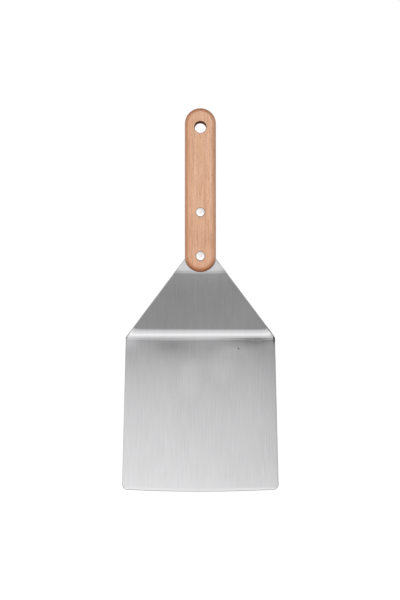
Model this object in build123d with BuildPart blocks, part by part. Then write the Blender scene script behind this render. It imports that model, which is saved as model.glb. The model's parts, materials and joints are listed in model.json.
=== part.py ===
from build123d import *
import os
from math import cos, radians, sin

# Grill spatula: a pressed steel sheet forms the blade, the neck and the tang. The tang sits in a
# saw-cut slot in a one-piece beech handle, held by two two-piece compression rivets.
# Millimetres and degrees. +Z is up, the blade lies flat on Z = 0, its front edge faces -Y and the
# handle rises towards +Y. The origin is the middle of the footprint.

# Sheet
sheet_thickness = 1.2
edge_break = 0.45  # rounding that takes the burr off the edges of the sheet

# Blade, from its front edge to the line where its underside would meet the neck's
blade_length = 128.2
blade_front_width = 123.9
blade_heel_width = 121.4
front_bow = 1.7  # how far the middle of the front edge stands ahead of its ends
front_corner_radius = 4.0
bevel_length = 1.6  # ground on the upper side of the front edge
bevel_depth = 0.13

# Neck, rising from the heel of the blade
neck_angle = 33.0
neck_length = 53.5
neck_heel_width = 118.3
neck_top_width = 40.7
heel_bend_radius = 18.5  # on the underside
shoulder_radius = 1.5

# Tang, in line with the handle
handle_angle = 15.0
tang_width = 21.0
tang_taper_length = 13.0
tang_depth = 58.0  # how far the tang reaches into the wood
tang_bend_radius = 9.0  # on the underside

# Handle
handle_length = 131.0
handle_width = 25.0
handle_thickness = 15.0
handle_edge_radius = 4.0
handle_setback = -0.7  # from the neck's upper corner to the tip of the wood, which overhangs the bend
hang_hole_radius = 4.65
hang_hole_inset = 15.5  # from the rear tip of the wood to the centre of the hole
hang_hole_easing = 0.5

# Slot that the tang slides into
slot_play = 0.3
slot_depth = 61.0
saw_radius = 90.0

# Rivets: a sleeve put in from above, and a pin pressed into it from below
rivet_insets = {"front": 12.7, "rear": 47.7}  # from the front tip of the wood
sleeve_radius = 2.5
sleeve_bore_depth = 9.5
sleeve_end_gap = 1.0  # from the end of the sleeve to the pin's head
pin_radius = 1.6
pin_end_gap = 1.5  # from the end of the pin to the bottom of the sleeve's bore
pin_point = 0.4  # chamfer that leads the pin into the sleeve
head_radius = 3.5
head_thickness = 1.2
head_crown = 0.12  # how far the middle of a head stands proud of the wood
head_rim_drop = 0.05  # how far its rim lies below the wood
head_rim_round = 0.25
counterbore_radius = 3.7


def rise(length, angle):
    """Height gained along a slope of that length and angle."""
    return length * sin(radians(angle))


def run(length, angle):
    """Level distance covered along a slope of that length and angle."""
    return length * cos(radians(angle))


def slope_plane(origin, angle):
    """Plane with X across the spatula and Y uphill towards the end of the handle."""
    return Plane(origin=origin, x_dir=(1, 0, 0), z_dir=(0, -rise(1, angle), run(1, angle)))


# The handle is centred on its slot, whose roof rests on the tang. The rearmost point of the
# spatula is on the rounded lower edge of the handle's rear end.
handle_offset = (sheet_thickness - slot_play) / 2
rear_edge_drop = handle_thickness / 2 - handle_edge_radius - handle_offset
rear_reach = (
    run(neck_length, neck_angle)
    + run(handle_setback + handle_length - handle_edge_radius, handle_angle)
    + rise(rear_edge_drop, handle_angle)
    + handle_edge_radius
)
heel_y = (blade_length - rear_reach) / 2
front_y = heel_y - blade_length
tang_y = heel_y + run(neck_length, neck_angle)
tang_z = rise(neck_length, neck_angle)

neck_plane = slope_plane((0, heel_y, 0), neck_angle)
tang_plane = slope_plane((0, tang_y, tang_z), handle_angle)
handle_plane = tang_plane.offset(handle_offset)
handle_top = handle_plane.offset(handle_thickness / 2)
handle_bottom = handle_plane.offset(-handle_thickness / 2)

os.makedirs("parts", exist_ok=True)


def save(piece, name):
    """Names a finished piece and writes it to its own file."""
    piece.part.label = name
    export_step(piece.part, f"parts/{name}.step")


# ---------------------------------------------------------------------------------- blade
# The side profile is pulled across the width, then cut to the outline of the pressed blank.
blank_width = 1.1 * blade_front_width
tang_reach = handle_setback + tang_depth
bend_at_handle = neck_angle - handle_angle
taper_end = neck_length + run(tang_taper_length, bend_at_handle)
tang_end = neck_length + run(tang_reach, bend_at_handle)
neck_flare = (neck_heel_width - neck_top_width) / 2 / neck_length
bow_radius = (blade_front_width**2 / 4 + front_bow**2) / (2 * front_bow)
bow_axis = Axis((0, front_y + bow_radius, 0), (0, 0, 1))
grinding_angle = 5.0  # to each side of the middle, past both corners

with BuildPart() as blade:
    with BuildSketch(Plane.YZ):
        with BuildLine():
            FilletPolyline(
                (front_y, 0),
                (heel_y, 0),
                (tang_y, tang_z),
                (
                    tang_y + run(tang_reach, handle_angle),
                    tang_z + rise(tang_reach, handle_angle),
                ),
                radius=[heel_bend_radius, tang_bend_radius],
            )
            offset(amount=sheet_thickness, side=Side.LEFT)
        make_face()
    extrude(amount=blank_width / 2, both=True)

    # Sides and bowed front edge, cut square to the blade
    with BuildSketch() as blade_outline:
        with BuildLine():
            front_edge = ThreePointArc(
                (-blade_front_width / 2, front_y + front_bow),
                (0, front_y),
                (blade_front_width / 2, front_y + front_bow),
            )
            side = Line(front_edge @ 1, (blade_heel_width / 2, heel_y))
            clear_of_neck = Line(side @ 1, (blade_heel_width / 2, -front_y))
            mirror([side, clear_of_neck], about=Plane.YZ)
            Line(clear_of_neck @ 1, (-blade_heel_width / 2, -front_y))
        make_face()
        fillet(blade_outline.vertices().group_by(Axis.Y)[0], front_corner_radius)
    extrude(amount=blade_length, both=True, mode=Mode.INTERSECT)

    # Flare of the neck and round-ended tang, cut square to the neck
    with BuildSketch(neck_plane):
        with BuildLine():
            flare = Line(
                (neck_heel_width / 2 + neck_flare * blade_length, -blade_length),
                (neck_top_width / 2, neck_length),
            )
            taper = Line(flare @ 1, (tang_width / 2, taper_end))
            tang_side = Line(taper @ 1, (tang_width / 2, tang_end - tang_width / 2))
            mirror([flare, taper, tang_side], about=Plane.YZ)
            Line(flare @ 0, (-(flare @ 0).X, -blade_length))
            ThreePointArc(tang_side @ 1, (0, tang_end), (-tang_width / 2, (tang_side @ 1).Y))
        make_face()
    extrude(amount=blade_length, both=True, mode=Mode.INTERSECT)
    shoulders = (
        blade.edges()
        .filter_by(lambda edge: edge.length < 2 * sheet_thickness)
        .filter_by(GeomType.LINE)
        .filter_by_position(Axis.Y, heel_y - heel_bend_radius, heel_y + heel_bend_radius)
    )
    fillet(shoulders, shoulder_radius)

    # Bevel ground along the bow of the front edge
    with BuildSketch(Plane.YZ) as grinding:
        with BuildLine():
            Polyline(
                (front_y + bevel_length, sheet_thickness),
                (front_y, sheet_thickness - bevel_depth),
                (front_y - bevel_length, sheet_thickness - bevel_depth),
                (front_y - bevel_length, sheet_thickness),
                close=True,
            )
        make_face()
    revolve(axis=bow_axis, revolution_arc=grinding_angle, mode=Mode.SUBTRACT)
    revolve(grinding.sketch, bow_axis, revolution_arc=-grinding_angle, mode=Mode.SUBTRACT)

    # Every long edge that doesn't run across the sheet follows its outline
    outline_edges = (
        blade.edges()
        .filter_by(lambda edge: edge.length > 2 * sheet_thickness)
        .filter_by(Axis.X, reverse=True)
    )
    fillet(outline_edges, edge_break)

    with BuildSketch(tang_plane):
        with Locations(*[(0, handle_setback + inset) for inset in rivet_insets.values()]):
            Circle(sleeve_radius)
    extrude(amount=sheet_thickness, mode=Mode.SUBTRACT)

save(blade, "blade")

# --------------------------------------------------------------------------------- handle
# A flat bar with full-round ends and eased edges, drilled for hanging and for the rivets. The
# slot is the cut of a circular saw entering from the front, so its inner end is an arc.
head_seat = head_rim_drop + head_thickness
rivet_places = [(0, handle_setback + inset) for inset in rivet_insets.values()]

with BuildPart() as handle:
    with BuildSketch(handle_plane):
        with Locations((0, handle_setback + handle_length / 2)):
            SlotOverall(handle_length, handle_width, rotation=90)
    extrude(amount=handle_thickness / 2, both=True)
    broad_faces = handle.faces().filter_by(GeomType.PLANE).sort_by(SortBy.AREA)[-2:]
    fillet(broad_faces.edges(), handle_edge_radius)

    with Locations(handle_top):
        with Locations((0, handle_setback + handle_length - hang_hole_inset)):
            Hole(hang_hole_radius)
        fillet(handle.edges(Select.LAST).filter_by(GeomType.CIRCLE), hang_hole_easing)
        with Locations(*rivet_places):
            CounterBoreHole(sleeve_radius, counterbore_radius, head_seat)

    with BuildSketch(handle_bottom):
        with Locations(*rivet_places):
            Circle(counterbore_radius)
    extrude(amount=head_seat, mode=Mode.SUBTRACT)

    with BuildSketch(tang_plane.offset(-slot_play)):
        with Locations((0, handle_setback + slot_depth - saw_radius)):
            Circle(saw_radius)
    extrude(amount=slot_play + sheet_thickness, mode=Mode.SUBTRACT)

save(handle, "handle")

# --------------------------------------------------------------------------------- rivets
# Each rivet is a closed-headed sleeve from above and a headed pin from below. Distances down a
# shank are measured from the face of the wood that its head is let into.
sleeve_end = handle_thickness - head_seat - sleeve_end_gap
bore_end = sleeve_end - sleeve_bore_depth
pin_end = handle_thickness - bore_end - pin_end_gap
sleeve_shank = [
    (sleeve_radius, -head_seat),
    (sleeve_radius, -sleeve_end),
    (pin_radius, -sleeve_end),
    (pin_radius, -bore_end),
    (0, -bore_end),
]
pin_shank = [
    (pin_radius, -head_seat),
    (pin_radius, pin_point - pin_end),
    (pin_radius - pin_point, -pin_end),
    (0, -pin_end),
]


def turned_rivet_half(face, inset, outward, shank):
    """A crowned head let into that face of the handle, with a shank of that outline."""
    across = Vector(1, 0, 0)
    seat = face.from_local_coords((0, handle_setback + inset, 0))
    section = Plane(seat, across, across.cross(outward))
    with BuildPart() as rivet_half:
        with BuildSketch(section) as outline:
            with BuildLine():
                crown = TangentArc((0, head_crown), (head_radius, -head_rim_drop), tangent=(1, 0))
                Polyline(crown @ 1, (head_radius, -head_seat), *shank, crown @ 0)
            make_face()
            fillet(outline.vertices().group_by(Axis.X)[-1].sort_by(Axis.Y)[-1], head_rim_round)
        revolve(axis=Axis(section.origin, outward))
    return rivet_half


for place, inset in rivet_insets.items():
    sleeve = turned_rivet_half(handle_top, inset, handle_top.z_dir, sleeve_shank)
    save(sleeve, f"{place}_rivet_sleeve")
    pin = turned_rivet_half(handle_bottom, inset, -handle_bottom.z_dir, pin_shank)
    save(pin, f"{place}_rivet_pin")
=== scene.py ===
import json
import math
from typing import NamedTuple

import bmesh
import bpy
from mathutils import Matrix, Vector


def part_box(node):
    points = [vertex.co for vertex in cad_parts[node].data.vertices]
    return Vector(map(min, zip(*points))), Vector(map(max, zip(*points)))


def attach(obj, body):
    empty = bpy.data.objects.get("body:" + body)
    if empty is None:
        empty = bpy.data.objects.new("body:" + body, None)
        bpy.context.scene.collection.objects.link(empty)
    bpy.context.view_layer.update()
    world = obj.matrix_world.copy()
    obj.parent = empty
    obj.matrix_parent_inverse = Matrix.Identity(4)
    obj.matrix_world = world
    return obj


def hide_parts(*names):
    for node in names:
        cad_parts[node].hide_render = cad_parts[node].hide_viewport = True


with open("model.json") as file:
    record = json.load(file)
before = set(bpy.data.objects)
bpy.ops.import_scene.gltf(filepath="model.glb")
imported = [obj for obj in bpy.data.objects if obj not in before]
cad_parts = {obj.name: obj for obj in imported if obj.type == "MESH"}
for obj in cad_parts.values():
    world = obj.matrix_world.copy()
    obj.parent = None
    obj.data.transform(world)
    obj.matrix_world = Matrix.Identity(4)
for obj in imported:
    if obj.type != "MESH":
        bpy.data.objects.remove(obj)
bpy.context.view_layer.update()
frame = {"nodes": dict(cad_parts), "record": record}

# A grill spatula on a pale table: a brushed steel sheet, a beech handle and two bright rivets. The
# handle and the rivets are the CAD shapes. The blade is a finer copy with the waves of a real sheet.
# Metres. +Z is up, the blade lies flat, its front edge faces -Y and the handle rises towards +Y.
MM = 0.001
NODES = frame["nodes"]
MOUNTS = {mount["name"]: mount for mount in frame["record"]["mounts"]}

# The hanging hole's axis stands square on the handle, so it gives the handle's own directions.
ACROSS = Vector((1, 0, 0))
HOLE = Vector(MOUNTS["hang_hole"]["pos_m"])
HOLE_RADIUS = MOUNTS["hang_hole"]["dims"]["r_mm"] * MM
OFF_HANDLE = Vector(MOUNTS["hang_hole"]["axis"]).normalized()
ALONG_HANDLE = OFF_HANDLE.cross(ACROSS)
HANDLE_PITCH = math.asin(ALONG_HANDLE.z)
TIP_TO_HOLE = 115.5 * MM
TIP = HOLE.dot(ALONG_HANDLE) - TIP_TO_HOLE  # where the wood begins, along the handle

# The camera looks square at the handle's face, at a point over the neck.
HOLE_TO_AIM = 137.9 * MM
AIM_LEFT = 0.3 * MM
AIM = HOLE - HOLE_TO_AIM * ALONG_HANDLE - AIM_LEFT * ACROSS
CAMERA_DISTANCE = 1.1156
CAMERA_LENS = 83.4                       # this and the next are in millimetres
CAMERA_SENSOR = 36.0

scene = bpy.context.scene
scene.view_settings.view_transform = "Standard"


def facing_handle(distance, along=0.0):
    """Matrix of something square over the handle's face at that distance. Its own Z points away."""
    turn = Matrix((ACROSS, ALONG_HANDLE, OFF_HANDLE)).transposed().to_4x4()
    place = AIM + distance * OFF_HANDLE + along * ALONG_HANDLE
    return Matrix.Translation(place) @ turn


def make_camera():
    data = bpy.data.cameras.new("camera")
    data.lens = CAMERA_LENS
    data.sensor_width = CAMERA_SENSOR
    camera = bpy.data.objects.new("camera", data)
    scene.collection.objects.link(camera)
    camera.matrix_world = facing_handle(CAMERA_DISTANCE)
    scene.camera = camera


# ------------------------------------------------------------------------ node shorthand
BLACK = (0.0, 0.0, 0.0)
WHITE = (1.0, 1.0, 1.0)
NOISE_SPAN = (0.3, 0.7)                  # most of a noise's values lie between these
OVAL_EDGE = (0.2, 1.1)                   # where an oval starts to fade and ends, as shares of its size


class Graph:
    """The node tree of one material or world, with short calls that add nodes and feed their inputs."""

    def __init__(self, owner):
        owner.use_nodes = True
        self.tree = owner.node_tree
        self.tree.nodes.clear()

    def add(self, kind, inputs=None, **settings):
        node = self.tree.nodes.new("ShaderNode" + kind)
        for name, value in settings.items():
            setattr(node, name, value)
        for name, value in (inputs or {}).items():
            if isinstance(value, bpy.types.NodeSocket):
                self.tree.links.new(value, node.inputs[name])
            else:
                node.inputs[name].default_value = value
        return node

    def math(self, operation, a, b=0.0):
        return self.add("Math", {0: a, 1: b}, operation=operation).outputs[0]

    def remap(self, value, low, high, to_low=0.0, to_high=1.0, smooth=False):
        """Takes low to to_low and high to to_high, and stays at those past them."""
        kind = "SMOOTHSTEP" if smooth else "LINEAR"
        inputs = {0: value, 1: low, 2: high, 3: to_low, 4: to_high}
        return self.add("MapRange", inputs, interpolation_type=kind).outputs[0]

    def blend(self, amount, a, b, mode="MIX"):
        inputs = {0: amount, 6: rgba(a), 7: rgba(b)}
        return self.add("Mix", inputs, data_type="RGBA", blend_type=mode).outputs[2]

    def noise(self, vector, scale, detail=2.0, roughness=0.5, shift=(0, 0, 0)):
        """Noise between 0 and 1, with cells 1/scale metres long. A shift keeps two patterns apart."""
        place = self.add("Mapping", {"Vector": vector, "Scale": scale, "Location": shift}).outputs[0]
        inputs = {"Vector": place, "Scale": 1.0, "Detail": detail, "Roughness": roughness}
        return self.add("TexNoise", inputs).outputs[0]

    def bump(self, height, distance, strength=1.0, normal=None):
        inputs = {"Height": height, "Distance": distance, "Strength": strength}
        if normal is not None:
            inputs["Normal"] = normal
        return self.add("Bump", inputs).outputs[0]

    def surface(self, shader):
        self.add("OutputMaterial", {"Surface": shader.outputs[0]})


def rgba(colour):
    """A colour with its alpha, or the socket that gives it."""
    return colour if isinstance(colour, bpy.types.NodeSocket) else (*colour, 1.0)


def grey(value):
    return (value, value, value)


def new_material(name):
    material = bpy.data.materials.new(name)
    return material, Graph(material)


def object_place(g):
    return g.add("TexCoord").outputs["Object"]


def along_grain(g):
    """Object coordinates turned so that Y runs along the handle."""
    inputs = {"Vector": object_place(g), "Angle": -HANDLE_PITCH}
    return g.add("VectorRotate", inputs, rotation_type="X_AXIS").outputs[0]


def split(g, vector):
    return g.add("SeparateXYZ", {0: vector}).outputs


def surface_normal(g):
    return g.add("NewGeometry").outputs["Normal"]


def length_of(g, x, y):
    flat = g.add("CombineXYZ", {0: x, 1: y})
    return g.add("VectorMath", {0: flat.outputs[0]}, operation="LENGTH").outputs["Value"]


def distance_from(g, value, centre):
    return g.math("ABSOLUTE", g.math("SUBTRACT", value, centre))


def axis_distance(g, place, centre):
    """Distance from an axis square to the handle's face through that centre."""
    parts = split(g, place)
    along = g.math("SUBTRACT", parts["Y"], centre.dot(ALONG_HANDLE))
    return length_of(g, parts["X"], along)


def oval(g, x, y, centre, half_size):
    """A soft-edged oval, 1 in its middle and 0 outside it."""
    across = g.math("DIVIDE", g.math("SUBTRACT", x, centre[0]), half_size[0])
    along = g.math("DIVIDE", g.math("SUBTRACT", y, centre[1]), half_size[1])
    return g.remap(length_of(g, across, along), *OVAL_EDGE, 1.0, 0.0, smooth=True)


# --------------------------------------------------------------------------- light
SKY_SEEN = 1.0                           # what the camera sees
SKY_LEFT = 0.20                          # what lights the tool
SKY_RIGHT = 0.08
SKY_SIDES = (-0.7, 0.7)                  # spans of the sky are parts of a unit vector
SKY_ENDS = 0.55                          # what shiny things mirror besides, before and behind them
SKY_END_SPAN = (0.35, 0.85)
SKY_HIGH = 0.35                          # and above them
SKY_HIGH_SPAN = (0.2, 0.5)

SOFTBOX_DISTANCE = 0.45
SOFTBOX_WIDTH = 0.84
SOFTBOX_LOW = -0.40
SOFTBOX_HIGH = 0.60
# What the softbox gives off at distances along the handle from the camera's axis. The neck mirrors
# what lies below -0.29, the bend sweeps from -0.30 to 0.20, and the flat of the blade mirrors 0.22
# beside the bend and less towards its front.
SOFTBOX_GLOW = (
    (SOFTBOX_LOW, 0.52), (-0.345, 0.515), (-0.300, 0.44), (-0.262, 0.86), (-0.225, 1.12),
    (-0.178, 1.29), (-0.130, 1.36), (-0.090, 1.46), (-0.055, 1.74), (-0.030, 1.97), (0.000, 1.92),
    (0.022, 1.50), (0.040, 1.43), (0.062, 1.40), (0.086, 1.34), (0.110, 1.27), (0.136, 1.19),
    (0.160, 1.10), (0.178, 1.00), (0.191, 0.92), (0.206, 0.80), (0.225, 0.69), (0.245, 0.53),
    (0.270, 0.35), (0.310, 0.38), (0.370, 1.60), (SOFTBOX_HIGH, 1.80),
)
RAMP_STOPS = 2                           # that a new colour ramp has
LEFT_GAIN = 0.5                          # more glow down the left side, but little of it at the low end
LEFT_SPAN = (-0.16, -0.36)
LEFT_LOW_END = 0.1
LEFT_LOW_SPAN = (-0.25, 0.0)
RIGHT_LOSS = 0.26                        # less on the right, where the bend and the blade mirror it
RIGHT_SPAN = (0.0, 0.13)
RIGHT_ALONG_SPAN = (-0.08, 0.05)
FAR_RIGHT_SHARE = 0.40                   # and less still at the right edge
FAR_RIGHT_SPAN = (0.18, 0.40)

KEY_DISTANCE = 0.42
KEY_ALONG = 0.06
KEY_SIZE = 0.25
KEY_POWER = 0.45

FLOOR_HALF = 8.0
FLOOR_DROP = 0.2 * MM                    # keeps the floor clear of the blade's underside
FLOOR_PAPER = 0.14
FLOOR_GLOW = 0.94


def make_world():
    """Plain and pale where the camera sees it, and a dim room, brighter on the left, for the rest.

    Shiny things mirror a brighter room before, behind and above them, so that steel isn't black.
    """
    world = bpy.data.worlds.new("studio")
    scene.world = world
    g = Graph(world)
    towards = split(g, g.add("TexCoord").outputs["Generated"])
    room = g.remap(towards["X"], *SKY_SIDES, SKY_LEFT, SKY_RIGHT, smooth=True)
    ends = g.remap(g.math("ABSOLUTE", towards["Y"]), *SKY_END_SPAN, 0.0, SKY_ENDS, smooth=True)
    high = g.remap(towards["Z"], *SKY_HIGH_SPAN, 0.0, SKY_HIGH, smooth=True)
    ray = g.add("LightPath").outputs
    mirrored = g.math("MULTIPLY", g.math("MAXIMUM", ends, high), ray["Is Glossy Ray"])
    room = g.math("ADD", room, mirrored)
    lit = g.add("Background", {"Color": rgba(WHITE), "Strength": room})
    seen = g.add("Background", {"Color": rgba(WHITE), "Strength": SKY_SEEN})
    both = g.add("MixShader", {0: ray["Is Camera Ray"], 1: lit.outputs[0], 2: seen.outputs[0]})
    g.add("OutputWorld", {"Surface": both.outputs[0]})


def make_softbox():
    """A large glowing panel square over the handle, which the steel mirrors."""
    side = SOFTBOX_WIDTH / 2
    low_corners = [(-side, SOFTBOX_LOW, 0), (side, SOFTBOX_LOW, 0)]
    high_corners = [(side, SOFTBOX_HIGH, 0), (-side, SOFTBOX_HIGH, 0)]
    mesh = bpy.data.meshes.new("softbox")
    facing_down = (3, 2, 1, 0)
    mesh.from_pydata(low_corners + high_corners, [], [facing_down])
    mesh.materials.append(softbox_glow())
    panel = bpy.data.objects.new("softbox", mesh)
    scene.collection.objects.link(panel)
    panel.matrix_world = facing_handle(SOFTBOX_DISTANCE)
    panel.visible_camera = False


def softbox_glow():
    """Light from the panel's front alone, which changes along it and from side to side."""
    material, g = new_material("softbox")
    place = split(g, object_place(g))
    ramp = g.add("ValToRGB", {0: g.remap(place["Y"], SOFTBOX_LOW, SOFTBOX_HIGH)})
    stops = ramp.color_ramp.elements
    for index, (along, glow) in enumerate(SOFTBOX_GLOW):
        position = (along - SOFTBOX_LOW) / (SOFTBOX_HIGH - SOFTBOX_LOW)
        stop = stops[index] if index < RAMP_STOPS else stops.new(position)
        stop.position = position
        stop.color = rgba(grey(glow))
    left = g.remap(place["X"], *LEFT_SPAN, 0.0, LEFT_GAIN, smooth=True)
    left = g.math("MULTIPLY", left, g.remap(place["Y"], *LEFT_LOW_SPAN, LEFT_LOW_END, 1.0, smooth=True))
    loss = g.remap(place["Y"], *RIGHT_ALONG_SPAN, 0.0, RIGHT_LOSS, smooth=True)
    loss = g.math("MULTIPLY", loss, g.remap(place["X"], *RIGHT_SPAN, smooth=True))
    share = g.math("SUBTRACT", 1.0, loss)
    far_right = g.remap(place["X"], *FAR_RIGHT_SPAN, 1.0, FAR_RIGHT_SHARE, smooth=True)
    share = g.math("MULTIPLY", share, far_right)
    glow = g.math("ADD", g.math("MULTIPLY", ramp.outputs[0], share), left)
    front = g.math("SUBTRACT", 1.0, g.add("NewGeometry").outputs["Backfacing"])
    g.surface(g.add("Emission", {"Strength": g.math("MULTIPLY", glow, front)}))
    return material


def make_key_light():
    """Soft light from straight above the handle for what isn't shiny. The steel doesn't mirror it."""
    data = bpy.data.lights.new("key", "AREA")
    data.shape = "SQUARE"
    data.size = KEY_SIZE
    data.energy = KEY_POWER
    key = bpy.data.objects.new("key", data)
    scene.collection.objects.link(key)
    key.matrix_world = facing_handle(KEY_DISTANCE, along=KEY_ALONG)
    key.visible_glossy = False
    key.visible_camera = False


def make_floor():
    """A plain pale table top, which is clear from below so that the underside can be looked at."""
    half = FLOOR_HALF
    corners = [(-half, -half, 0), (half, -half, 0), (half, half, 0), (-half, half, 0)]
    mesh = bpy.data.meshes.new("floor")
    mesh.from_pydata(corners, [], [(0, 1, 2, 3)])
    material, g = new_material("floor")
    paper = g.add("BsdfDiffuse", {"Color": rgba(grey(FLOOR_PAPER))})
    glow = g.add("Emission", {"Strength": FLOOR_GLOW})
    lit = g.add("AddShader", {0: paper.outputs[0], 1: glow.outputs[0]})
    clear = g.add("BsdfTransparent")
    below = g.add("NewGeometry").outputs["Backfacing"]
    g.surface(g.add("MixShader", {0: below, 1: lit.outputs[0], 2: clear.outputs[0]}))
    mesh.materials.append(material)
    floor = bpy.data.objects.new("floor", mesh)
    floor.location.z = -FLOOR_DROP
    scene.collection.objects.link(floor)


# ---------------------------------------------------------------------- shape of the sheet
BLADE_LOW, BLADE_HIGH = (Vector(corner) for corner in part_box("blade"))
BLADE_LENGTH = 128.2 * MM
SHEET_THICKNESS = 1.2 * MM
HALF_WIDTH = BLADE_HIGH.x
FRONT_HALF = 61.95 * MM                  # half the blade's width at its front
HEEL_HALF = 60.7 * MM                    # and at its heel
NECK_HALF = 59.15 * MM                   # half the neck's width at the heel
NECK_FLARE = 0.865                       # how fast it narrows, seen from above
NECK_ANGLE = math.radians(33)
BEND_RADIUS = 18.5 * MM                  # on the underside
HEEL = BLADE_LOW.y + BLADE_LENGTH        # where the flat would meet the neck if the bend were sharp
BEND_TO_HEEL = 5.5 * MM
BEND_START = HEEL - BEND_TO_HEEL         # where the flat ends and the bend begins
SIDE_LEAN = (HEEL_HALF - FRONT_HALF) / BLADE_LENGTH

# The sheet lies a little higher in front of the bend: least near the middle, most beside it, and a
# little less again at its ends.
CREASE_HEIGHT = 0.055 * MM
CREASE_BESIDE_MIDDLE = 0.07 * MM
CREASE_MIDDLE = (4 * MM, 18 * MM)        # where across, and half how wide
CREASE_END_LOSS = 0.035 * MM
CREASE_START = -3.4 * MM                 # in front of the bend's beginning
CREASE_LENGTH = 3.7 * MM

# It rises a little more, all along, as the bend settles into the flat.
SETTLING_HEIGHT = 0.02 * MM
SETTLING_START = -2 * MM
SETTLING_LENGTH = 10 * MM

# Its ends flare up beside the bend.
END_START = 0.74                         # these two are shares of the half width
END_LENGTH = 0.24
FLARE_LEFT = 0.38 * MM
FLARE_RIGHT = 0.31 * MM
FLARE_MIDDLE = HEEL - 1.2 * MM
FLARE_REACH = 7 * MM

# Blanking pulls the upper face down beside the side edges.
ROLL_DEPTH = 0.06 * MM
ROLL_LENGTH = 1.1 * MM
SHOULDER_ROLL = 0.50 * MM
SHOULDER_ROLL_MIDDLE = HEEL - 1 * MM
SHOULDER_ROLL_REACH = 5.5 * MM


class Swell(NamedTuple):
    """A part of the blade's width that rises, or sinks if its height is negative, from the bend on."""

    height: float
    middle: float       # where across the blade
    half_width: float
    start: float        # in front of the bend's beginning
    length: float       # of its rise: all of it for a slow swell, and see settle for a quick one


# Three swells beside the bend, on the right, on the left and near the middle, and two shallow sinks.
QUICK_SWELLS = (
    Swell(0.38 * MM, middle=48 * MM, half_width=17.5 * MM, start=-2.9 * MM, length=3.0 * MM),
    Swell(0.35 * MM, middle=-23 * MM, half_width=14 * MM, start=0.0, length=6.3 * MM),
    Swell(0.05 * MM, middle=9 * MM, half_width=7 * MM, start=4 * MM, length=4 * MM),
)
SLOW_SWELLS = (
    Swell(-0.07 * MM, middle=28 * MM, half_width=10 * MM, start=4 * MM, length=10 * MM),
    Swell(-0.10 * MM, middle=-4 * MM, half_width=14 * MM, start=13 * MM, length=18 * MM),
)


def settle(distance, length):
    """Rises smoothly from 0 at 0 and settles at 1, with 0.9 at three times that length."""
    return (1 - math.exp(-max(distance, 0.0) / length)) ** 2


def hump(value, centre, width):
    """1 at the centre, dropping to nothing on both sides."""
    return math.exp(-(((value - centre) / width) ** 2))


def smooth_step(value):
    """Rises from 0 to 1 between 0 and 1, level at both ends."""
    value = min(max(value, 0.0), 1.0)
    return value * value * (3 - 2 * value)


def wave(x, y):
    """How far the real sheet stands off the ideal one, in metres, upwards."""
    ahead = BEND_START - y
    end = smooth_step((abs(x) / HALF_WIDTH - END_START) / END_LENGTH)
    beside_middle = 1 - hump(x, *CREASE_MIDDLE)
    crease = CREASE_HEIGHT + CREASE_BESIDE_MIDDLE * beside_middle - CREASE_END_LOSS * end
    total = crease * smooth_step((ahead - CREASE_START) / CREASE_LENGTH)
    total += SETTLING_HEIGHT * settle(ahead - SETTLING_START, SETTLING_LENGTH)
    for swell in QUICK_SWELLS:
        rise = swell.height * settle(ahead - swell.start, swell.length)
        total += rise * hump(x, swell.middle, swell.half_width)
    for swell in SLOW_SWELLS:
        rise = swell.height * smooth_step((ahead - swell.start) / swell.length)
        total += rise * hump(x, swell.middle, swell.half_width)
    fade = 1 - smooth_step(ahead / (BEND_START - BLADE_LOW.y))
    flare = (FLARE_RIGHT if x > 0 else FLARE_LEFT) * end * hump(y, FLARE_MIDDLE, FLARE_REACH)
    return total * fade + flare


def side_edge(y):
    """How far the side edge stands from the middle, in the flat and a little way up the neck."""
    flat = FRONT_HALF + (y - BLADE_LOW.y) * SIDE_LEAN
    neck = NECK_HALF - (y - HEEL) * NECK_FLARE
    return min(flat, neck)


def edge_roll(x, y):
    """How far up blanking has moved the upper face beside its side edges: below 0, as it sinks."""
    depth = ROLL_DEPTH + SHOULDER_ROLL * hump(y, SHOULDER_ROLL_MIDDLE, SHOULDER_ROLL_REACH)
    return -depth * math.exp(-max(side_edge(y) - abs(x), 0.0) / ROLL_LENGTH)


def underside(y):
    """Height of the sheet's lower face in the flat, the bend and the neck."""
    bend_run = BEND_RADIUS * math.sin(NECK_ANGLE)
    into_bend = min(max(y - BEND_START, 0.0), bend_run)
    past_bend = max(y - BEND_START - bend_run, 0.0)
    return BEND_RADIUS - math.sqrt(BEND_RADIUS**2 - into_bend**2) + past_bend * math.tan(NECK_ANGLE)


def slopes(height, x, y):
    """How steeply that height changes across and along the tool."""
    step = 0.05 * MM
    return (
        (height(x + step, y) - height(x - step, y)) / (2 * step),
        (height(x, y + step) - height(x, y - step)) / (2 * step),
    )


# ---------------------------------------------------------------------- mesh of the sheet
CUT_LIMIT = HEEL + 16 * MM               # the sheet is divided and bent only in front of this line
FINE_STEP = 1.5 * MM                     # between cuts across the flat, near the bend
FINE_LENGTH = 24 * MM
COARSE_STEP = 5.0 * MM                   # and further on
NECK_CUTS_START = 12 * MM                # behind the bend's beginning
NECK_STEP = 2 * MM
COLUMNS = 40
EDGE_INSETS = (0.8, 1.3, 2.0, 3.0)       # of the cuts beside the side edges, in millimetres
WELD_DISTANCE = 1e-7
SLIVER = 1e-6
SAME_PLANE = math.radians(0.2)


def cut_across(bm, place, direction, faces):
    edges = {edge for face in faces for edge in face.edges}
    verts = {vert for face in faces for vert in face.verts}
    geometry = [*verts, *edges, *faces]
    bmesh.ops.bisect_plane(bm, geom=geometry, dist=WELD_DISTANCE, plane_co=place, plane_no=direction)


def front_faces(bm):
    return [face for face in bm.faces if face.calc_center_median().y < CUT_LIMIT]


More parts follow.
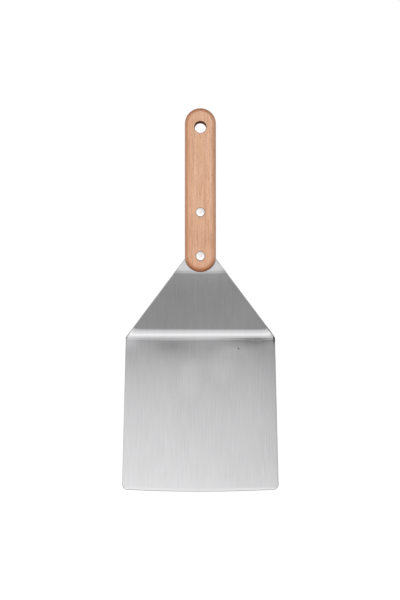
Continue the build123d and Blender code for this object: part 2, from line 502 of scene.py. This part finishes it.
def cut_rows():
    """Where the cuts across the sheet lie: the flat's from the bend forwards, then the neck's."""
    ahead = 0.0
    while BEND_START - ahead > BLADE_LOW.y:
        yield BEND_START - ahead
        ahead += FINE_STEP if ahead < FINE_LENGTH else COARSE_STEP
    behind = NECK_CUTS_START
    while BEND_START + behind < CUT_LIMIT:
        yield BEND_START + behind
        behind += NECK_STEP


def divide(bm):
    """Cuts the front part of the sheet into a grid, finer near the bend and the side edges."""
    cut_across(bm, (0, CUT_LIMIT, 0), (0, 1, 0), list(bm.faces))
    for y in cut_rows():
        cut_across(bm, (0, y, 0), (0, 1, 0), front_faces(bm))
    for column in range(1, COLUMNS):
        x = HALF_WIDTH * (2 * column / COLUMNS - 1)
        cut_across(bm, (x, 0, 0), (1, 0, 0), front_faces(bm))
    for side in (-1, 1):
        for inset in EDGE_INSETS:
            edge = (side * (FRONT_HALF - inset * MM), BLADE_LOW.y, 0)
            cut_across(bm, edge, (1, -side * SIDE_LEAN, 0), front_faces(bm))


def bend_sheet(bm):
    """Moves the front part of the sheet by its waves and leans its normals with them.

    The roll beside the edges moves the upper face fully, the side wall in proportion to its height,
    and the lower face not at all.
    """
    layer = bm.loops.layers.float_vector["cad_normal"]
    for vert in bm.verts:
        if vert.co.y > CUT_LIMIT:
            continue
        x, y = vert.co.x, vert.co.y
        share = min(max((vert.co.z - underside(y)) / SHEET_THICKNESS, 0.0), 1.0)
        wave_x, wave_y = slopes(wave, x, y)
        roll_x, roll_y = slopes(edge_roll, x, y)
        slope_x = wave_x + share * roll_x
        slope_y = wave_y + share * roll_y
        for loop in vert.link_loops:
            normal = Vector(loop[layer])
            # a height field's normals follow the inverse transpose of its shear
            normal = Vector((normal.x - slope_x * normal.z, normal.y - slope_y * normal.z, normal.z))
            loop[layer] = normal.normalized()
        vert.co.z += wave(x, y) + share * edge_roll(x, y)


def make_sheet():
    """The CAD blade with its front part divided finely and bent by the waves of a real sheet."""
    mesh = NODES["blade"].data.copy()
    mesh.name = "blade_sheet"
    kept = mesh.attributes.new("cad_normal", "FLOAT_VECTOR", "CORNER")
    for corner, normal in enumerate(mesh.corner_normals):
        kept.data[corner].vector = normal.vector
    bm = bmesh.new()
    bm.from_mesh(mesh)
    bmesh.ops.remove_doubles(bm, verts=bm.verts, dist=WELD_DISTANCE)
    bmesh.ops.dissolve_limit(bm, angle_limit=SAME_PLANE, verts=bm.verts, edges=bm.edges)
    divide(bm)
    bend_sheet(bm)
    bmesh.ops.dissolve_degenerate(bm, dist=SLIVER, edges=bm.edges)
    bm.to_mesh(mesh)
    bm.free()
    mesh.polygons.foreach_set("use_smooth", [True] * len(mesh.polygons))
    normals = [Vector(item.vector).normalized() for item in mesh.attributes["cad_normal"].data]
    mesh.normals_split_custom_set(normals)
    mesh.attributes.remove(mesh.attributes["cad_normal"])
    sheet = bpy.data.objects.new("blade_sheet", mesh)
    scene.collection.objects.link(sheet)
    return sheet


# ----------------------------------------------------------------------- brushed steel
STEEL_COLOUR = (0.503, 0.502, 0.510)
STEEL_ROUGHNESS = (0.19, 0.23)
STEEL_ANISOTROPY = 0.85
STREAK_ROUGHNESS = 0.02                  # more and less, from streak to streak
HAIRLINE_SCALE = (2600, 40, 40)
HAIRLINE_SPAN = (0.2, 0.8)
HAIRLINE_SHADE = 0.055
HAIRLINE_HEIGHT = 0.004 * MM
STREAK_SCALE = (820, 55, 55)
STREAK_SPAN = (0.25, 0.75)
STREAK_SHADE = 0.033
STREAK_HEIGHT = 0.006 * MM
CLOUD_SCALE = (45, 28, 28)
CLOUD_SHADE = 0.03
NECK_GRAIN = 0.75                        # the share of the brushing that shows on the neck
NECK_GRAIN_LENGTH = 4 * MM
UPWARD_SPAN = (0.2, 0.5)                 # the upright part of a normal, from edge to upper face
# Where the upper face is painted brighter: middle, half the size, how much.
BRIGHT_PATCHES = (
    ((-9 * MM, BEND_START - 32 * MM), (11 * MM, 22 * MM), 0.10),
    ((18 * MM, BEND_START - 20 * MM), (14 * MM, 21 * MM), 0.11),
)

FRONT_BOW = 1.7 * MM                     # how far the middle of the front edge stands ahead of its ends
BEVEL_LENGTH = 1.6 * MM
# Painted light and shade at the front edge, from the back of its bevel forwards: where each tone
# begins, where it is full, and the tone of the painted shade line at the bevel's rear, of the
# painted highlight on the ground bevel and of the painted shade on the sheared edge.
FRONT_LIGHT_AND_SHADE = (
    (BEVEL_LENGTH + 0.1 * MM, BEVEL_LENGTH - 0.2 * MM, (0.43, 0.43, 0.435)),
    (1.2 * MM, 0.8 * MM, (0.53, 0.53, 0.535)),
    (0.5 * MM, 0.3 * MM, (0.30, 0.30, 0.30)),
)

# Painted shade by the handle's tip: the sheet is a little darker behind the tang's bend, with a
# darker line at the bend, which is darkest at its outer corners. What runs along the handle counts
# from the tip of the wood.
TANG_SHADE = 0.08
TANG_SPAN = (-0.5 * MM, 1.6 * MM)
TANG_LINE_SHADE = 0.24
TANG_LINE_MIDDLE = 0.8 * MM
TANG_LINE_SPAN = (1.0 * MM, 2.2 * MM)    # from that middle
TANG_CORNER_SHADE = 0.16
TANG_CORNER_ACROSS = (13 * MM, 20 * MM)
TANG_CORNER_ALONG = (1.2 * MM, 2.4 * MM)

# Painted shade as a dark line round the shoulders, further and stronger on the right.
SHOULDER_SHADE_COLOUR = (0.10, 0.10, 0.10)
SHOULDER_INSET = (1.0 * MM, 1.9 * MM)
SHOULDER_MIDDLE = HEEL - 1.5 * MM
SHOULDER_REACH = (4 * MM, 8 * MM)
SHOULDER_LEFT_REACH = 0.45
SHOULDER_LEFT_SHADE = 0.7

# A small pit in the upper face, drawn only as painted shade.
PIT = (31 * MM, BEND_START - 6.9 * MM)
PIT_SIZE = (0.4 * MM, 0.9 * MM)
PIT_SHADE = 0.75
PIT_SHADE_COLOUR = (0.12, 0.12, 0.12)


def brushed_steel():
    """Stainless steel brushed along the blade, with painted shade and highlight at its edges, by the
    handle and in a pit.
    """
    material, g = new_material("brushed_steel")
    place = object_place(g)
    hairlines = g.noise(place, HAIRLINE_SCALE, detail=2, roughness=0.6)
    streaks = g.noise(place, STREAK_SCALE, detail=3, roughness=0.65, shift=(3, 1, 0))
    clouds = g.noise(place, CLOUD_SCALE, detail=4, roughness=0.55)
    light = brushing(g, place, hairlines, streaks, clouds)
    colour = g.blend(1.0, STEEL_COLOUR, g.math("ADD", light, 1.0), "MULTIPLY")
    # painted shade and highlight along the front edge
    behind = behind_front(g, place)
    for begins, full, tone in FRONT_LIGHT_AND_SHADE:
        colour = g.blend(g.remap(behind, begins, full), colour, tone)
    # painted shade by the handle's tip
    colour = paint_tang_shade(g, place, colour)
    # painted shade round the shoulders
    colour = g.blend(shoulder_shade(g, place), colour, SHOULDER_SHADE_COLOUR)
    # painted shade of the pit
    colour = g.blend(pit_shade(g, place), colour, PIT_SHADE_COLOUR)
    uneven = g.remap(streaks, *NOISE_SPAN, -STREAK_ROUGHNESS, STREAK_ROUGHNESS)
    roughness = g.math("ADD", g.remap(clouds, *NOISE_SPAN, *STEEL_ROUGHNESS), uneven)
    normal = g.bump(hairlines, HAIRLINE_HEIGHT)
    normal = g.bump(streaks, STREAK_HEIGHT, normal=normal)
    grain_side = g.add("CombineXYZ", {0: 1.0}).outputs[0]
    inputs = {
        "Base Color": colour, "Metallic": 1.0, "Roughness": roughness,
        "Anisotropic": STEEL_ANISOTROPY, "Tangent": grain_side, "Normal": normal,
    }
    g.surface(g.add("BsdfPrincipled", inputs))
    return material


def brushing(g, place, hairlines, streaks, clouds):
    """How much brighter or darker than plain steel the brushing and painted brighter patches make it,
    about 0.
    """
    parts = split(g, place)
    on_neck = g.remap(parts["Y"], HEEL, HEEL + NECK_GRAIN_LENGTH, 1.0, NECK_GRAIN, smooth=True)
    streaky = g.remap(streaks, *STREAK_SPAN, -STREAK_SHADE, STREAK_SHADE)
    fine = g.remap(hairlines, *HAIRLINE_SPAN, -HAIRLINE_SHADE, HAIRLINE_SHADE)
    cloudy = g.remap(clouds, *NOISE_SPAN, -CLOUD_SHADE, CLOUD_SHADE)
    light = g.math("ADD", g.math("MULTIPLY", g.math("ADD", streaky, fine), on_neck), cloudy)
    upper_face = g.remap(split(g, surface_normal(g))["Z"], *UPWARD_SPAN)
    for centre, half_size, gain in BRIGHT_PATCHES:
        patch = oval(g, parts["X"], parts["Y"], centre, half_size)
        patch = g.math("MULTIPLY", patch, upper_face)
        light = g.math("ADD", light, g.math("MULTIPLY", patch, gain))
    return light


def behind_front(g, place):
    """How far back from the bowed front edge a point lies."""
    parts = split(g, place)
    across = g.math("DIVIDE", parts["X"], HALF_WIDTH)
    bow = g.math("MULTIPLY", g.math("MULTIPLY", across, across), FRONT_BOW)
    return g.math("SUBTRACT", parts["Y"], g.math("ADD", bow, BLADE_LOW.y))


# Painted shade on the sheet by the handle's tip.
def paint_tang_shade(g, place, colour):
    along = g.math("SUBTRACT", split(g, along_grain(g))["Y"], TIP)
    colour = g.blend(g.remap(along, *TANG_SPAN, 0.0, TANG_SHADE, smooth=True), colour, BLACK)
    from_line = distance_from(g, along, TANG_LINE_MIDDLE)
    line = g.remap(from_line, *TANG_LINE_SPAN, TANG_LINE_SHADE, 0.0, smooth=True)
    colour = g.blend(line, colour, BLACK)
    across = g.math("ABSOLUTE", split(g, place)["X"])
    corner = g.remap(across, *TANG_CORNER_ACROSS, 0.0, TANG_CORNER_SHADE, smooth=True)
    near_bend = g.remap(g.math("ABSOLUTE", along), *TANG_CORNER_ALONG, 1.0, 0.0, smooth=True)
    return g.blend(g.math("MULTIPLY", corner, near_bend), colour, BLACK)


def shoulder_shade(g, place):
    """How much the painted shade, a dark line round the shoulders, covers."""
    parts = split(g, place)
    x, y = parts["X"], parts["Y"]
    flat_side = g.math("ADD", g.math("MULTIPLY", y, SIDE_LEAN), FRONT_HALF - BLADE_LOW.y * SIDE_LEAN)
    neck_side = g.math("ADD", g.math("MULTIPLY", y, -NECK_FLARE), NECK_HALF + HEEL * NECK_FLARE)
    edge = g.math("MINIMUM", flat_side, neck_side)
    inset = g.math("SUBTRACT", edge, g.math("ABSOLUTE", x))
    beside = g.remap(inset, *SHOULDER_INSET, 1.0, 0.0, smooth=True)
    reach = g.remap(x, -HALF_WIDTH, HALF_WIDTH, SHOULDER_LEFT_REACH, 1.0)
    from_shoulder = g.math("DIVIDE", distance_from(g, y, SHOULDER_MIDDLE), reach)
    around = g.remap(from_shoulder, *SHOULDER_REACH, 1.0, 0.0, smooth=True)
    shade = g.remap(x, -HALF_WIDTH, HALF_WIDTH, SHOULDER_LEFT_SHADE, 1.0)
    return g.math("MULTIPLY", g.math("MULTIPLY", beside, around), shade)


def pit_shade(g, place):
    """How much the painted shade of the small pit in the upper face covers."""
    centre = (*PIT, BLADE_LOW.z + SHEET_THICKNESS + wave(*PIT))
    from_pit = g.add("VectorMath", {0: place, 1: centre}, operation="DISTANCE").outputs["Value"]
    return g.remap(from_pit, *PIT_SIZE, PIT_SHADE, 0.0, smooth=True)


# ------------------------------------------------------------------------------- beech
BEECH_PALE = (0.80, 0.478, 0.320)
BEECH_TAN = (0.66, 0.355, 0.20)
BEECH_PINK = (0.77, 0.435, 0.30)
BEECH_ORANGE = (0.70, 0.32, 0.15)
BEECH_EDGE_SHADE = (0.46, 0.22, 0.13)
BEECH_DARK = (0.36, 0.155, 0.075)
BEECH_END = (0.42, 0.12, 0.035)
BEECH_SHADOW = (0.10, 0.045, 0.02)
BORE_SHADE_COLOUR = (0.15, 0.055, 0.024)
BEECH_ROUGHNESS = (0.42, 0.58)
BEECH_SHINE = 0.35

# Each pattern's scale, the span of its noise over which it shows, and how much of a colour it adds.
BAND_SCALE = (190, 7, 120)
BAND_SPAN = (0.38, 0.66)
BAND_TAN = (0.1, 0.55)
BLUSH_SCALE = (60, 14, 60)
BLUSH_SPAN = (0.42, 0.62)
BLUSH_PINK = 0.6
FIBRE_SCALE = (760, 28, 760)
FIBRE_SPAN = (0.50, 0.72)
FIBRE_TAN = 0.5
FIBRE_HEIGHT = 0.02 * MM
FIBRE_ROUGH_SPAN = (0.3, 0.8)
HAIR_SCALE = (1350, 62, 1350)
HAIR_SPAN = (0.52, 0.78)
HAIR_DARK = 0.5
PALE_HAIR_SPAN = (0.48, 0.28)
PALE_HAIR_LIGHT = 0.45
PALE_HAIR_COLOUR = (0.9, 0.9, 0.9)
FLECK_SCALE = (1300, 400, 1300)
FLECK_SPAN = (0.58, 0.74)
FLECK_DARK = 0.42
FLECK_HEIGHT = 0.03 * MM
FLECK_STRENGTH = 0.6
COARSE_GRAIN = 1.8                       # how many times as strong the grain is near the tip
COARSE_SPAN = (60 * MM, 25 * MM)         # from the tip, where it begins to be and where it is

ORANGE_SIDE = 0.42                       # the left side is more orange
ORANGE_SPAN = (-5.5 * MM, -9.5 * MM)
TAN_STREAK = (-7.2 * MM, 84 * MM)        # the middle of the one on the left: across, and from the tip
TAN_STREAK_HALF_SIZE = (3.0 * MM, 26 * MM)
TAN_STREAK_DEPTH = 0.6
# The front of the handle is more tan, by two amounts that begin and are full this far from the tip.
FRONT_TANS = (((75 * MM, 30 * MM), 0.28), ((16 * MM, 4 * MM), 0.3))

HEAD_LOW, HEAD_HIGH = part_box("front_rivet_sleeve")
HEAD_RADIUS = (HEAD_HIGH[0] - HEAD_LOW[0]) / 2
# Painted shade in the hanging hole's wall and round the rivet heads.
BORE_SPAN = (0.1 * MM, 0.5 * MM)         # outside the hanging hole's radius
RIVET_RING_SHADE = 0.32
RIVET_RING_SPAN = (0.2 * MM, 0.8 * MM)   # outside the rivet heads' radius

# The sideways part of a normal where the painted edge shade begins and is full, and where it ends on
# the sides.
EDGE_SHADE_SPAN = (0.15, 0.5)
EDGE_SHADE_END = (1.0, 0.85)
EDGE_SHADE_LEFT = 0.6
EDGE_SHADE_RIGHT = 0.33
# The lengthways part of a normal where the darker end grain and painted shade begin and are full.
TIP_GRAIN = (0.0, -0.6)
TIP_SHADE = 0.88
BUTT_GRAIN = (0.15, 0.7)
BUTT_SHADE = 0.8
# The part of a normal off the handle's face where the painted shadow begins and ends, and how much
# there is.
SHADOW_UPPER = (0.62, 0.40)
SHADOW_LOWER = (0.0, 0.10)
SHADOW_TIP_SPAN = (-0.1, -0.4)
SHADOW_SIDES = 0.18
SHADOW_TIP = 0.75


def middle(node):
    """The middle of a CAD node's box."""
    low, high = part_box(node)
    return (Vector(low) + Vector(high)) / 2


def beech():
    """Oiled beech with its grain along the handle, and painted shade on its edges, ends, hole and rivet
    rings.
    """
    material, g = new_material("beech")
    place = along_grain(g)
    past_tip = g.math("SUBTRACT", split(g, place)["Y"], TIP)
    fibres = g.noise(place, FIBRE_SCALE, detail=4, roughness=0.7)
    flecks = g.noise(place, FLECK_SCALE, detail=1, roughness=0.4, shift=(1, 7, 3))
    colour = wood_tint(g, place, past_tip)
    colour = wood_grain(g, place, past_tip, fibres, flecks, colour)
    for span, amount in FRONT_TANS:
        colour = g.blend(g.remap(past_tip, *span, 0.0, amount, smooth=True), colour, BEECH_TAN)
    # painted shade on the long edges
    colour = paint_edge_shade(g, colour)
    colour = darken_ends(g, colour)
    # painted shade on the hanging hole's wall
    bore_shade = around_axis(g, place, HOLE, HOLE_RADIUS, BORE_SPAN)
    colour = g.blend(bore_shade, colour, BORE_SHADE_COLOUR)
    # painted shade in the gaps round the rivet heads
    for rivet in ("front_rivet_sleeve", "rear_rivet_sleeve"):
        ring_shade = around_axis(g, place, middle(rivet), HEAD_RADIUS, RIVET_RING_SPAN, RIVET_RING_SHADE)
        colour = g.blend(ring_shade, colour, BEECH_DARK)
    roughness = g.math("ADD", g.remap(fibres, *FIBRE_ROUGH_SPAN, *BEECH_ROUGHNESS), bore_shade)
    normal = g.bump(fibres, FIBRE_HEIGHT)
    normal = g.bump(flecks, FLECK_HEIGHT, FLECK_STRENGTH, normal)
    inputs = {
        "Base Color": colour, "Roughness": roughness, "Normal": normal,
        "Specular IOR Level": BEECH_SHINE,
    }
    g.surface(g.add("BsdfPrincipled", inputs))
    return material


def wood_tint(g, place, past_tip):
    """The slow changes of colour along and across the wood."""
    across = split(g, place)["X"]
    bands = g.noise(place, BAND_SCALE, detail=3, roughness=0.6)
    blush = g.noise(place, BLUSH_SCALE, detail=2, shift=(5, 2, 1))
    tan = g.remap(bands, *BAND_SPAN, *BAND_TAN, smooth=True)
    colour = g.blend(tan, BEECH_PALE, BEECH_TAN)
    pink = g.remap(blush, *BLUSH_SPAN, 0.0, BLUSH_PINK, smooth=True)
    colour = g.blend(pink, colour, BEECH_PINK)
    orange = g.remap(across, *ORANGE_SPAN, 0.0, ORANGE_SIDE, smooth=True)
    colour = g.blend(orange, colour, BEECH_ORANGE)
    streak = oval(g, across, past_tip, TAN_STREAK, TAN_STREAK_HALF_SIZE)
    return g.blend(g.math("MULTIPLY", streak, TAN_STREAK_DEPTH), colour, BEECH_TAN)


def wood_grain(g, place, past_tip, fibres, flecks, colour):
    """Tan fibres, dark and pale hairs, and the short dark flecks that beech has."""
    hairs = g.noise(place, HAIR_SCALE, detail=2, roughness=0.6, shift=(4, 3, 8))
    coarseness = g.remap(past_tip, *COARSE_SPAN, 1.0, COARSE_GRAIN, smooth=True)
    tan = g.math("MULTIPLY", g.remap(fibres, *FIBRE_SPAN, 0.0, FIBRE_TAN), coarseness)
    colour = g.blend(tan, colour, BEECH_TAN)
    dark = g.math("MULTIPLY", g.remap(hairs, *HAIR_SPAN, 0.0, HAIR_DARK), coarseness)
    colour = g.blend(dark, colour, BEECH_DARK)
    pale = g.remap(hairs, *PALE_HAIR_SPAN, 0.0, PALE_HAIR_LIGHT)
    colour = g.blend(pale, colour, PALE_HAIR_COLOUR, "SOFT_LIGHT")
    spotted = g.remap(flecks, *FLECK_SPAN, 0.0, FLECK_DARK, smooth=True)
    return g.blend(spotted, colour, BEECH_DARK)


def around_axis(g, place, centre, radius, span, amount=1.0):
    """That amount up to the span's first distance outside a circle, and nothing past its second."""
    outside = g.math("SUBTRACT", axis_distance(g, place, centre), radius)
    return g.remap(outside, *span, amount, 0.0, smooth=True)


def paint_edge_shade(g, colour):
    """Painted shade on the eased long edges, where they turn away from the light, the left one most."""
    right = split(g, surface_normal(g))["X"]
    left = g.math("MULTIPLY", right, -1.0)
    shades = []
    for side, amount in ((left, EDGE_SHADE_LEFT), (right, EDGE_SHADE_RIGHT)):
        shaded = g.remap(side, *EDGE_SHADE_SPAN, 0.0, amount)
        shades.append(g.math("MULTIPLY", shaded, g.remap(side, *EDGE_SHADE_END)))
    return g.blend(g.math("ADD", *shades), colour, BEECH_EDGE_SHADE)


def darken_ends(g, colour):
    """Darker, redder ends from oily end grain and painted shade; painted shadow on the rolled edge."""
    normal = surface_normal(g)
    facing = g.add("VectorMath", {0: normal, 1: ALONG_HANDLE}, operation="DOT_PRODUCT").outputs["Value"]
    tip = g.remap(facing, *TIP_GRAIN, 0.0, TIP_SHADE)
    butt = g.remap(facing, *BUTT_GRAIN, 0.0, BUTT_SHADE)
    # end grain that takes more oil, with painted shade
    colour = g.blend(g.math("ADD", tip, butt), colour, BEECH_END)
    upward = g.add("VectorMath", {0: normal, 1: OFF_HANDLE}, operation="DOT_PRODUCT").outputs["Value"]
    # painted contact shadow along the rolled edge, strongest at the tip
    rolled = g.math("MULTIPLY", g.remap(upward, *SHADOW_UPPER), g.remap(upward, *SHADOW_LOWER))
    shadow = g.math("MULTIPLY", rolled, g.remap(facing, *SHADOW_TIP_SPAN, SHADOW_SIDES, SHADOW_TIP))
    return g.blend(shadow, colour, BEECH_SHADOW)


# ------------------------------------------------------------------------------ rivets
# The rivets are one metal; the front one is painted darker, as painted shade.
RIVET_COLOURS = {"front": (0.74, 0.725, 0.71), "rear": (0.80, 0.785, 0.77)}
RIVET_ROUGHNESS = (0.24, 0.34)
SMEAR_SCALE = (520, 520, 520)
SMEAR_SHADES = (0.90, 1.03)
SCRATCH_SCALE = (2600, 160, 400)
SCRATCH_HEIGHT = 0.003 * MM
RING_PITCH = 0.22 * MM                   # of the fine rings that turning leaves
RING_HEIGHT = 0.002 * MM
# Painted shade on the heads' rounded rims.
RIM_SHADE_COLOUR = (0.45, 0.42, 0.40)
RIM_WIDTH = 0.4 * MM
RIM_SHADE = 0.15
# A painted dark reflection in the middle of each head.
CENTRE_REFLECTION_COLOUR = (0.3, 0.3, 0.3)
CENTRE_REFLECTION_SPAN = (0.4 * MM, 1.3 * MM)
CENTRE_REFLECTION_SHADE = 0.16


def rivet_metal(node, base_colour):
    """Bright turned metal for the rivet that this node belongs to."""
    material, g = new_material("rivet_metal_" + node)
    place = along_grain(g)
    distance = axis_distance(g, place, middle(node))
    rings = g.math("SINE", g.math("MULTIPLY", distance, 2 * math.pi / RING_PITCH))
    smear = g.noise(place, SMEAR_SCALE, detail=3)
    scratches = g.noise(place, SCRATCH_SCALE, detail=2)
    colour = g.blend(1.0, base_colour, g.remap(smear, *NOISE_SPAN, *SMEAR_SHADES), "MULTIPLY")
    # painted shade on the rim
    rim = g.remap(distance, HEAD_RADIUS - RIM_WIDTH, HEAD_RADIUS, 0.0, RIM_SHADE, smooth=True)
    colour = g.blend(rim, colour, RIM_SHADE_COLOUR)
    # painted dark reflection in the head's middle
    centre_reflection = g.remap(distance, *CENTRE_REFLECTION_SPAN, CENTRE_REFLECTION_SHADE, 0.0, smooth=True)
    colour = g.blend(centre_reflection, colour, CENTRE_REFLECTION_COLOUR)
    roughness = g.remap(scratches, *NOISE_SPAN, *RIVET_ROUGHNESS)
    normal = g.bump(rings, RING_HEIGHT)
    normal = g.bump(scratches, SCRATCH_HEIGHT, normal=normal)
    inputs = {"Base Color": colour, "Metallic": 1.0, "Roughness": roughness, "Normal": normal}
    g.surface(g.add("BsdfPrincipled", inputs))
    return material


def dress(piece, material):
    piece.data.materials.clear()
    piece.data.materials.append(material)


# --------------------------------------------------------------------------- making
make_camera()
make_world()
make_softbox()
make_key_light()
make_floor()

sheet = make_sheet()
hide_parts("blade")
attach(sheet, "root")
dress(sheet, brushed_steel())
dress(NODES["handle"], beech())
for end, base_colour in RIVET_COLOURS.items():
    metal = rivet_metal(end + "_rivet_sleeve", base_colour)
    dress(NODES[end + "_rivet_sleeve"], metal)
    dress(NODES[end + "_rivet_pin"], metal)
